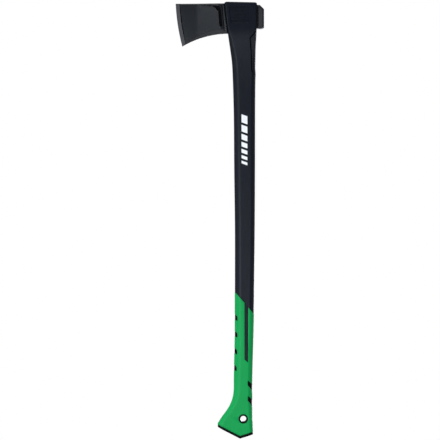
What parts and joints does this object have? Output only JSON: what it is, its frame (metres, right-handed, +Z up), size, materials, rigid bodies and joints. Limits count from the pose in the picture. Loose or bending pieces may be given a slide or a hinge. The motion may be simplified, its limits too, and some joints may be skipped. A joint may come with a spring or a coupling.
{
  "type": "splitting maul",
  "caption": "Splitting maul with a forged wedge head, flat poll, long moulded black handle, green rubber grip, flared butt and hang hole.",
  "frame": {"origin": "centre of the hang hole, on the middle plane of the handle", "axes": "+Z up the handle towards the head, -X towards the cutting edge and +X towards the poll, Y across the thickness"},
  "size_m": [0.1855, 0.056, 0.9158],
  "materials": {
    "coated_steel": "satin black coating on forged steel, with a ground edge",
    "black_nylon": "fine moulded texture",
    "green_rubber": "matte soft rubber",
    "black_cap": "hard satin plastic",
    "fibreglass": "resin-bonded glass fibre",
    "epoxy": "cured resin"
  },
  "bodies": {
    "root": {"head": "coated_steel", "core": "fibreglass", "eye_bedding": "epoxy", "handle_jacket": "black_nylon", "grip": "green_rubber", "butt_cap": "black_cap", "hang_hole_liner": "black_cap"}
  },
  "joints": []
}
